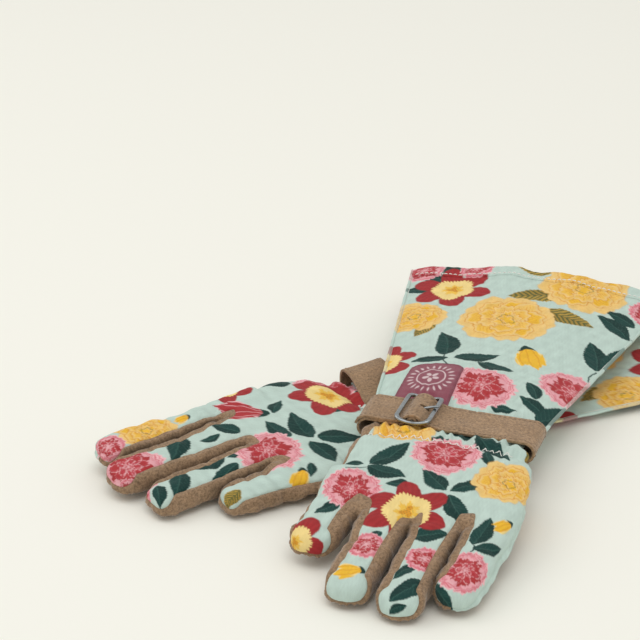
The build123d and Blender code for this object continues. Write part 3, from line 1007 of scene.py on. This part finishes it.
def smooth_line(points, count):
    """An even Catmull-Rom line through the points."""
    p = np.asarray(points, float)
    p = np.vstack([2 * p[0] - p[1], p, 2 * p[-1] - p[-2]])
    out = []
    for a, b, c, d in zip(p, p[1:], p[2:], p[3:]):
        for t in np.linspace(0, 1, 12, endpoint=False):
            square = (2 * a - 5 * b + 4 * c - d) * t**2
            cube = (3 * b - a - 3 * c + d) * t**3
            out.append(0.5 * (2 * b + (c - a) * t + square + cube))
    out = np.array(out + [p[-2]])
    run = run_of(out)
    return line_at(np.linspace(0, run[-1], count), run, out)


def arc(cx, cz, radius, a0, a1, count=9):
    t = np.radians(np.linspace(a0, a1, count))
    return list(zip(cx + radius * np.cos(t), cz + radius * np.sin(t)))


def strap_lines(g):
    """Centre lines of the strap's long end and buckle end, as (x, z)."""
    low, _, top = g.wrist_z
    under, bar = low - 0.8, top + 3.6
    flat = top + 1.1
    turn = (flat - under) / 2
    over_bar = ((9.2, -1.35), (6.2, -0.9), (3.4, 1.9), (0, 3.1), (-3.6, 2.0), (-6.6, -0.7),
                (-9.2, -1.35), (-14, -1.45))
    to_bar = ((-14, -2.85), (-10.5, -2.85), (-6.8, -2.75), (-3.3, -0.5), (-1.3, 1.4), (0, 1.7))
    end_turn = (bar - 2.85 - under) / 2
    tail = [(0.6, under), (20, under)] + arc(STRAP_HALF - turn, under + turn, turn, -90, 90)
    tail += [(30, flat), (20, flat), (8, flat), (-2, flat)]
    tail += [(BUCKLE_X + x, bar + z) for x, z in over_bar]
    tail += arc(end_turn - STRAP_HALF, bar - 1.5 - end_turn - 1.35, end_turn + 1.35, 90, 165, 7)
    end = [(-0.6, under), (-20, under)] + arc(end_turn - STRAP_HALF, under + end_turn, end_turn, 270, 90)
    end += [(BUCKLE_X + x, bar + z) for x, z in to_bar]
    end += arc(BUCKLE_X, bar, 1.7, 70, -90, 8) + [(BUCKLE_X - 2.4, bar - 1.7)]
    return tail, end, bar


def strap_warp(g, p):
    """The back glove's strap slews towards the cuff and stands off at the index side."""
    p = np.array(p, float)
    if g.name == "left":
        low, _, top = g.wrist_z
        side = step(4, 44, p[:, 0])
        p[:, 1] -= 9.0 * side
        p[:, 2] += 5.0 * side * step(low, top, p[:, 2])
    return p


def normals_of(line):
    """Normals of an x-z line, to the left of its run."""
    tangent = np.gradient(line, axis=0)
    tangent /= np.linalg.norm(tangent, axis=1)[:, None]
    return np.c_[-tangent[:, 1], tangent[:, 0]]


def strap_sway(g, run):
    """How far the strap's middle strays sideways along its run."""
    return 0.22 * waves(np.c_[run, run * 0], 34, g.seed + 70)


def strap_dents(g, run, across):
    """How far the strap's face stands above the even line."""
    return 0.10 * waves(np.c_[run, across], 13, g.seed + 71)


def band_mesh(g, line, holes):
    """The strap along an x-z line, with oval holes given by (distance along, half length, half width)."""
    run, normal = run_of(line), normals_of(line)
    half, cell = STRAP_WIDTH / 2, 0.18
    w = np.r_[np.linspace(-half, -3, 16), np.linspace(-2.7, 2.7, 19), np.linspace(3, half, 16)]
    far, across = (v.ravel() for v in np.meshgrid(run, w, indexing="ij"))
    sway = strap_sway(g, run)
    gone = np.zeros(len(far), bool)
    for at, half_length, half_width in holes:
        k = np.hypot((far - at) / half_length, across / half_width) + 1e-9
        outside = np.hypot(far - at, across) * (1 - 1 / k)
        gone |= outside < -cell
        rim = np.abs(outside) <= cell
        far = np.where(rim, at + (far - at) / k, far)
        across = np.where(rim, across / k, across)
    on_line = line_at(far, run, line) + line_at(far, run, normal) * strap_dents(g, far, across)[:, None]
    points = np.c_[on_line[:, 0], STRAP_MIDDLE + across + np.interp(far, run, sway), on_line[:, 1]]
    mesh = mesh_of(g, strap_warp(g, points), grid_faces(len(line), len(w)))
    bm = bmesh.new()
    bm.from_mesh(mesh)
    bmesh.ops.delete(bm, geom=[v for v, inside in zip(bm.verts, gone) if inside], context="VERTS")
    bmesh.ops.remove_doubles(bm, verts=bm.verts, dist=0.02 * MM)
    bm.to_mesh(mesh)
    bm.free()
    return mesh


def build_strap_stitches(g, line, thick):
    """A row of stitches along each edge of the long end, on its outer face."""
    run, normal = run_of(line), normals_of(line)
    parts = []
    for v in (-10.6, 10.6):
        out = normal * (strap_dents(g, run, np.full(len(run), v)) - thick / 2)[:, None]
        path = np.c_[line[:, 0] + out[:, 0], STRAP_MIDDLE + v + strap_sway(g, run), line[:, 1] + out[:, 1]]
        up = np.c_[-normal[:, 0], np.zeros(len(run)), -normal[:, 1]]
        parts.append(stitches(path, up, 2.7, 2.0, 0.2))
    points, faces = join(parts)
    add_object(g, "strap_stitches", mesh_of(g, strap_warp(g, points), faces), TAN_THREAD)


def build_strap(g):
    """Builds both ends of the strap; gives the height of the buckle's bar."""
    tail, end, bar = strap_lines(g)
    # Each hole: (mm from the buckle's bar, half length, half width).
    for name, node, points, count, holes, thick in (
        ("strap_long_end", "strap_tail", tail, 420, ((3.1, 2.9, 1.3), (-4.4, 0.9, 0.9)), 1.35),
        ("strap_short_end", "strap_buckle_end", end, 300, ((1.6, 4.6, 1.9),), 1.2),
    ):
        line = smooth_line(points, count)
        run = run_of(line)
        below = 99 * (line[:, 1] <= bar - 3.2)
        placed = [(run[np.argmin(np.abs(line[:, 0] - BUCKLE_X - x) + below)], *oval) for x, *oval in holes]
        obj = add_object(g, name, band_mesh(g, line, placed), STRAP_SUEDE)
        solid = obj.modifiers.new("thickness", "SOLIDIFY")
        solid.thickness, solid.offset = thick * MM, 0
        edge = obj.modifiers.new("edge", "BEVEL")
        edge.width, edge.segments, edge.limit_method = 0.35 * MM, 2, "ANGLE"
        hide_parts(f"{g.name}_{node}")
        if node == "strap_tail":
            build_strap_stitches(g, line, thick)
    return bar


def arch(x):
    """Height of the buckle's curved frame over its bar: 1.8 mm at 8.8 mm from it."""
    radius = (8.8 ** 2 + 1.8 ** 2) / 3.6
    return radius - np.sqrt(radius**2 - np.clip(x, -12, 12) ** 2)


def buckle_frame():
    """The frame, bent along the strap, and its centre bar."""
    half_length, half_width, corner = 8.8, 14.2, 3.4
    path = []
    for cx, cy, a0 in ((1, 1, 0), (-1, 1, 90), (-1, -1, 180), (1, -1, 270)):
        t = np.radians(np.linspace(a0, a0 + 90, 10))
        x = cx * (half_length - corner) + corner * np.cos(t)
        path += zip(x, cy * (half_width - corner) + corner * np.sin(t))
    path = np.array(path + [path[0]])
    run = run_of(path)
    plan = line_at(np.linspace(0, run[-1], 140, endpoint=False), run, path)
    tangent = np.roll(plan, -1, 0) - np.roll(plan, 1, 0)
    tangent /= np.linalg.norm(tangent, axis=1)[:, None]
    outward = np.c_[tangent[:, 1], -tangent[:, 0]]
    half = np.where(np.abs(outward[:, 0]) > 0.5, 1.25, 1.05)
    w, h = ring_points(1, 1, 2.6, 18).T
    xy = plan[:, None] + outward[:, None] * (half[:, None] * w)[..., None]
    z = arch(plan[:, :1]) + h * (1.0 - 0.12 * w)
    points = np.concatenate([xy, z[..., None]], -1).reshape(-1, 3)
    faces = [f[::-1] for f in grid_faces(len(plan), 18, closed_cols=True, closed_rows=True)]
    y = np.linspace(-14.0, 14.0, 30)
    return join([(points, faces), tube_mesh(np.c_[y * 0, y, y * 0], 1.0, 18)])


def buckle_prong():
    """An eye round the bar and a tongue to the side of the frame."""
    eye = []
    for t in np.linspace(0, 2 * math.pi, 28, endpoint=False):
        r = ring_points(0.45, 0.95, 3.0, 12)
        eye.append(np.c_[(1.6 + r[:, 0]) * math.cos(t), r[:, 1], (1.6 + r[:, 0]) * math.sin(t)])
    eye_faces = grid_faces(28, 12, closed_cols=True, closed_rows=True)
    count, tongue = 40, []
    line = smooth_line([(1.3, 1.3), (3.4, 2.1), (6.2, 3.05), (8.9, 3.85), (10.5, 4.1), (10.9, 3.95)], count)
    for share, (x, z) in zip(np.linspace(0, 1, count), line):
        taper = 1 - 7 * max(0, share - 0.93)
        r = ring_points((0.98 - 0.22 * share) * taper, (0.68 - 0.12 * share) * taper, 2.6, 12)
        tongue.append(np.c_[x - r[:, 1] * 0.3, r[:, 0], z + r[:, 1]])
    faces = grid_faces(count, 12, closed_cols=True)
    faces += [tuple(range(12))[::-1], tuple(range((count - 1) * 12, count * 12))]
    return join([(np.concatenate(eye), eye_faces), (np.concatenate(tongue), faces)])


def build_buckle(g, bar):
    for name, node, body, (points, faces) in (
        ("buckle_metal", "buckle_frame", "buckle", buckle_frame()),
        ("prong_metal", "buckle_prong", "prong", buckle_prong()),
    ):
        mesh = mesh_of(g, points + (BUCKLE_X, STRAP_MIDDLE, bar), faces)
        obj = add_object(g, name, mesh, METAL, f"{g.name}_{body}")
        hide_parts(f"{g.name}_{node}")


def build_wrist(g, hand):
    """The gathered band under the strap, and the elastic's zigzag stitch beside it."""
    low, _, top = g.wrist_z
    t = np.linspace(0, 2 * math.pi, 420, endpoint=False)
    c, s = np.cos(t), np.sin(t)
    x, z = ring_points(40.5, (top - low) / 2 * 0.86, 2.6, len(t)).T
    rows, cloth = [], []
    ys = np.linspace(3, 27, 26)
    for y in ys:
        fold = 0.75 * (np.abs(np.sin(x / 3.2 + 0.6 * math.sin(y / 6))) - 0.5)
        fold = fold + 0.25 * np.sin(t * 60 + y / 3)
        along = np.full(len(t), y)
        rows.append(np.c_[x + 0.5 * fold * c, along, (top + low) / 2 + z + fold * s])
        cloth.append(np.c_[x, along])
    mesh = mesh_of(g, np.concatenate(rows), grid_faces(len(ys), len(t), closed_cols=True))
    put_print(mesh, g, np.concatenate(cloth))
    obj = add_object(g, "wrist_gathers", mesh, COTTON)
    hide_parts(f"{g.name}_wrist_band")
    tree = BVHTree.FromPolygons([v.co for v in hand.vertices], [f.vertices for f in hand.polygons])
    path = []
    for x in np.arange(-39, 39.1 if g.name == "right" else 14, 0.16):
        y = g.elastic + 1.5 * (4 * abs((x / 3.8) % 1 - 0.5) - 1)
        spot = tree.ray_cast(Vector(g.row([(x, y, 80)])[0]), Vector((0, 0, -1)))[0]
        if spot is not None:
            path.append((x, y, spot.z / MM + 0.2))
    mesh = mesh_of(g, *tube_mesh(path, 0.3, 6))
    obj = add_object(g, "elastic_zigzag", mesh, WHITE_THREAD)
    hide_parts(f"{g.name}_wrist_elastic")


def badge_colours(x, y, rim):
    """A ring of rays round a ring and a five-petal flower, inside a twill rim."""
    r = np.hypot(x, y)
    ground, pale, thread = rgb("8B3A4E"), rgb("E6D0D2"), rgb("7A2E42")
    c = np.repeat(ground[None, :], r.size, 0)
    c = over(c, pale, soft(0.38 - np.abs(r - 7.6), 0.35) * 0.9)
    for count, first, shape in ((22, 0, (11.2, 1.7, 0.62)), (5, 0.31, (2.9, 1.9, 1.15))):
        for k in range(count):
            turn = 2 * math.pi * k / count + first
            c = over(c, pale, soft(oval(x, y, turn, *shape), 0.35) * 0.85)
    c = over(c, ground, soft(1.0 - r, 0.35))
    twill = 0.8 + 0.35 * (np.sin((x + y) * 5.0) > 0)
    return over(c, thread * twill[:, None], rim[:, None])


def build_badge(g):
    """A woven badge with an arched top and a stitched rim."""
    rows, cols, length, middle, start = 110, 84, 42.0, -21.5, -1.5
    v, u = np.meshgrid(np.linspace(0, 1, rows), np.linspace(-1, 1, cols), indexing="ij")
    y = start - v * (length - 5.0 * u**2)
    half = 15.5 - 0.8 * v
    x = middle + half * u
    at = cuff_point(g, x / cuff_half(y), y, True)
    dist = np.minimum(half * (1 - np.abs(u)), length * (1 - v))
    rim = np.clip(1 - np.abs(dist - 0.9) / 0.9, 0, 1)
    z = at[..., 2] + 0.9 + 0.25 * rim - 0.75 * np.clip(1 - dist / 0.35, 0, 1)
    points = np.stack([x, at[..., 1], z], -1).reshape(-1, 3)
    mesh = mesh_of(g, points, [f[::-1] for f in grid_faces(rows, cols)])
    set_vector(mesh, "cloth", np.stack([x, y], -1).reshape(-1, 2))
    set_colour(mesh, badge_colours((x - middle).ravel(), (y - start + length - 17.5).ravel(), rim.ravel()))
    obj = add_object(g, "badge", mesh, BADGE)
    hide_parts(f"{g.name}_label_patch")


# ---------------------------------------------------------------- the two gloves

RIGHT = Glove(
    "right", -1, (71.2, -166.4), 161.1,
    tips={"index": (38.4, 138.5), "middle": (15.6, 152.5), "ring": (-11.5, 149.0), "pinky": (-41.5, 119.0)},
    root_half={"index": 12.7, "middle": 13.0, "ring": 13.6, "pinky": 13.8},
    tip_half={"index": 10.8, "middle": 10.9, "ring": 11.0, "pinky": 11.4},
    seam=(6.4, 3.0, -3.0), elastic=33.5, web=((-1.2, 106),),
    mid_line=((10, 22.0), (26, 22.4), (45, 22.6), (70, 20.0), (95, 16.6), (125, 12.0), (150, 8.4),
              (170, 7.0)),
    half_line=((16, 4.0), (26, 4.6), (40, 6.6), (60, 7.2), (95, 7.2)),
    finger_half=7.6, roll=0.0, gather=3.0, yawn=6.0,
    drift=((20, (0.5,) * 5), (50, (6,) * 5), (100, (6.5,) * 5), (150, (2,) * 5)),
    palm_plane=(20.8, 0.125, 0.0), wrist_z=(17.4, 21.8, 26.2), mouth_z=(14.6, 22.0, 30.0), seed=100,
)
LEFT = Glove(
    "left", 1, (48.0, -121.4), 123.9,
    tips={"index": (38.5, 160.0), "middle": (14.5, 165.5), "ring": (-12.8, 159.0), "pinky": (-34.5, 130.0)},
    root_half={"index": 12.7, "middle": 13.0, "ring": 12.6, "pinky": 11.8},
    tip_half={"index": 10.8, "middle": 11.0, "ring": 10.2, "pinky": 8.6},
    seam=(5.5, 3.8, -0.8), elastic=24.0, web=(),
    mid_line=((10, 5.2), (26, 6.6), (50, 9.8), (90, 10.6), (150, 9.0), (170, 8.8)),
    half_line=((16, 2.8), (26, 3.6), (45, 5.6), (60, 6.2), (95, 6.4)),
    finger_half=6.7, roll=0.075, gather=1.2, yawn=0.0,
    drift=((16, (0, 0, 0, 2, 4)), (32, (0, 0, 0, 3, 7.5)), (55, (0, 3, 2, 3, 3)), (95, (1, 7, 4, 4, -4)),
           (130, (1, 2, 1.5, 1, -2)), (165, (0, 0, 0, 0, 0))),
    palm_plane=(6.8, 0.022, 0.08), wrist_z=(1.4, 4.6, 7.6), mouth_z=(0.1, 5.8, 11.4), seed=200,
)

# Motifs on the flat cloth, later ones on top: (kind, s, a, direction in degrees, length, tone).
CUFF_PRINT = (
    leaves((-23, -62, -111, 29), (-18, -57, -26, 26), (-21, -57, 155, 21), (-4, -54, 13, 22),
           (57, -79, -111, 29), (60, -82, -80, 30), (66, -122, -150, 26), (66, -136, -165, 20),
           (37, -27, -125, 17), (44, -16, -150, 19), (40, -9, -62, 26), (16, -12, 0, 14),
           (-51, -157, -166, 21), (-44, -171, 160, 16), (-58, -142, 190, 16))
    + leaves((-40, -100, 115, 20), (22, -146, 168, 32), (10, -172, -172, 28), (14, -128, 12, 32), tone=1)
    + [("stem", -24, -64, 70, 20, 0), ("stem", 58, -78, 95, 14, 0), ("stem", 70, -120, 200, 10, 0)]
    + [("peony", -3, -112, 0, 28, 0), ("peony", 31, -160, 50, 27, 0), ("peony", -56, -108, 20, 20, 0),
       ("cosmos", -44, -147, 10, 24, 0), ("cosmos", -57, -51, 30, 21, 0), ("carn", 6, -26, 0, 20, 0),
       ("carn", 50, -49, 80, 19, 0), ("carn", -68, -168, 30, 13, 0), ("carn", -36, -171, 0, 10, 0),
       ("carn", 70, -152, 0, 12, 0), ("bud", 15, -84, 63, 28, 0)]
)
RIGHT.motifs = CUFF_PRINT + (
    leaves((-27, 64, -53, 25), (-27, 66, 18, 23), (-30, 65, 165, 13), (17, 78, -140, 22), (2, 80, 178, 16),
           (-30, 100, 130, 15), (-4, 116, 120, 10), (9, 114, -15, 20), (20, 136, 130, 15), (28, 146, 130, 22),
           (24, 164, 150, 12), (30, 144, 50, 18), (33, 67, 140, 18), (19, 82, 45, 23), (41, 114, -82, 21),
           (42, 118, -30, 17), (18, 24, 38, 28), (27, 40, 62, 15), (4, 20, 12, 18), (-6, 34, -20, 12))
    + leaves((44, 20, 40, 22), tone=1)
    + [("stem", -36, 74, -35, 12, 0), ("stem", 40, 124, -80, 10, 0)]
    + [("peony", -20, 27, 0, 17, 0), ("carn", -29, 88, 0, 16, 0), ("cosmos", 3, 98, 15, 23, 0),
       ("cosmos", -46, 132, 0, 20, 0), ("carn", -8, 128, 0, 10, 0), ("carn", 22, 130, 60, 10, 0),
       ("carn", 43, 134, 10, 14.5, 0), ("peony", 45, 62, 0, 18.5, 0), ("carn", 8, 47, 40, 19, 0),
       ("bud", -2, 146, 165, 17, 0), ("bud", 56, 91, 130, 14, 0)]
)
LEFT.motifs = CUFF_PRINT + (
    leaves((49, 45, 98, 20), (17, 77, -50, 16), (-13, 71, -8, 26), (-14, 69, -114, 25), (-15, 74, 180, 24),
           (-7, 80, 15, 20), (6, 45, -70, 24), (24, 20, -90, 20), (-32, 86, 150, 12), (10, 101, 30, 19),
           (14, 112, 90, 12), (26, 128, 136, 25), (-5, 121, 88, 21), (-13, 118, 110, 20), (-4, 104, 95, 16),
           (-4, 146, 140, 22), (-8, 163, 150, 18), (33, 172, 100, 12))
    + leaves((-34, 130, 100, 17), tone=1)
    + [("carn", 41, 27, 0, 19, 0), ("cosmos", 23, 37, 10, 24, 0), ("cosmos", 54, 86, 40, 18, 0),
       ("bud", 17, 79, 47, 30, 1), ("carn", -12, 98, 30, 19, 0), ("bud", -34, 92, 140, 18, 0),
       ("carn", 12, 167, 0, 20, 0), ("peony", 38, 142, 20, 17, 0), ("bud", 36, 116, 80, 10, 0),
       ("carn", 36, 167, 0, 11, 0), ("carn", -2, 176, 0, 10, 0)]
)

for glove, pitch in ((RIGHT, 0.55), (LEFT, 0.9)):
    shell, panels = build_hand(glove)
    build_thumb(glove)
    cuffs = build_cuff(glove, pitch)
    build_wrist(glove, shell)
    build_buckle(glove, build_strap(glove))
    build_badge(glove)


# ---------------------------------------------------------------- floor, light and camera

def add_floor(half):
    mesh = bpy.data.meshes.new("floor")
    corners = [(-half, -half, 0), (half, -half, 0), (half, half, 0), (-half, half, 0)]
    mesh.from_pydata(corners, [], [(0, 1, 2, 3)])
    paper = Shader("paper")
    paper.look({"Base Color": (*rgb("F6F6EE"), 1), "Roughness": 0.9})
    mesh.materials.append(paper.material)
    floor = bpy.data.objects.new("floor", mesh)
    bpy.context.scene.collection.objects.link(floor)


def aimed(obj, place, target):
    obj.location = place
    obj.rotation_euler = (Vector(target) - Vector(place)).to_track_quat("-Z", "Y").to_euler()
    bpy.context.scene.collection.objects.link(obj)


def add_lamp(name, place, size, power, colour):
    data = bpy.data.lights.new(name, "AREA")
    data.size, data.energy, data.color = size, power, colour
    aimed(bpy.data.objects.new(name, data), place, (0, 0, 0))


def studio():
    scene = bpy.context.scene
    add_floor(3.0)
    world = scene.world or bpy.data.worlds.new("world")
    scene.world = world
    world.use_nodes = True
    scene.view_settings.view_transform = "Standard"
    sky = world.node_tree.nodes["Background"]
    sky.inputs["Color"].default_value = (1.0, 0.985, 0.96, 1)
    sky.inputs["Strength"].default_value = 0.70
    add_lamp("window", (-1.2, 0.3, 1.5), 1.2, 5.4, (1.0, 0.985, 0.95))
    add_lamp("fill", (0.1, -0.7, 2.4), 1.8, 14.0, (1.0, 0.99, 0.97))
    camera = bpy.data.objects.new("camera", bpy.data.cameras.new("camera"))
    camera.data.lens, camera.data.sensor_width, camera.data.clip_start = 135, 36, 0.05
    aimed(camera, (-0.0579, -1.1284, 0.6210), (-0.0579, 0.1448, 0))
    scene.camera = camera


studio()
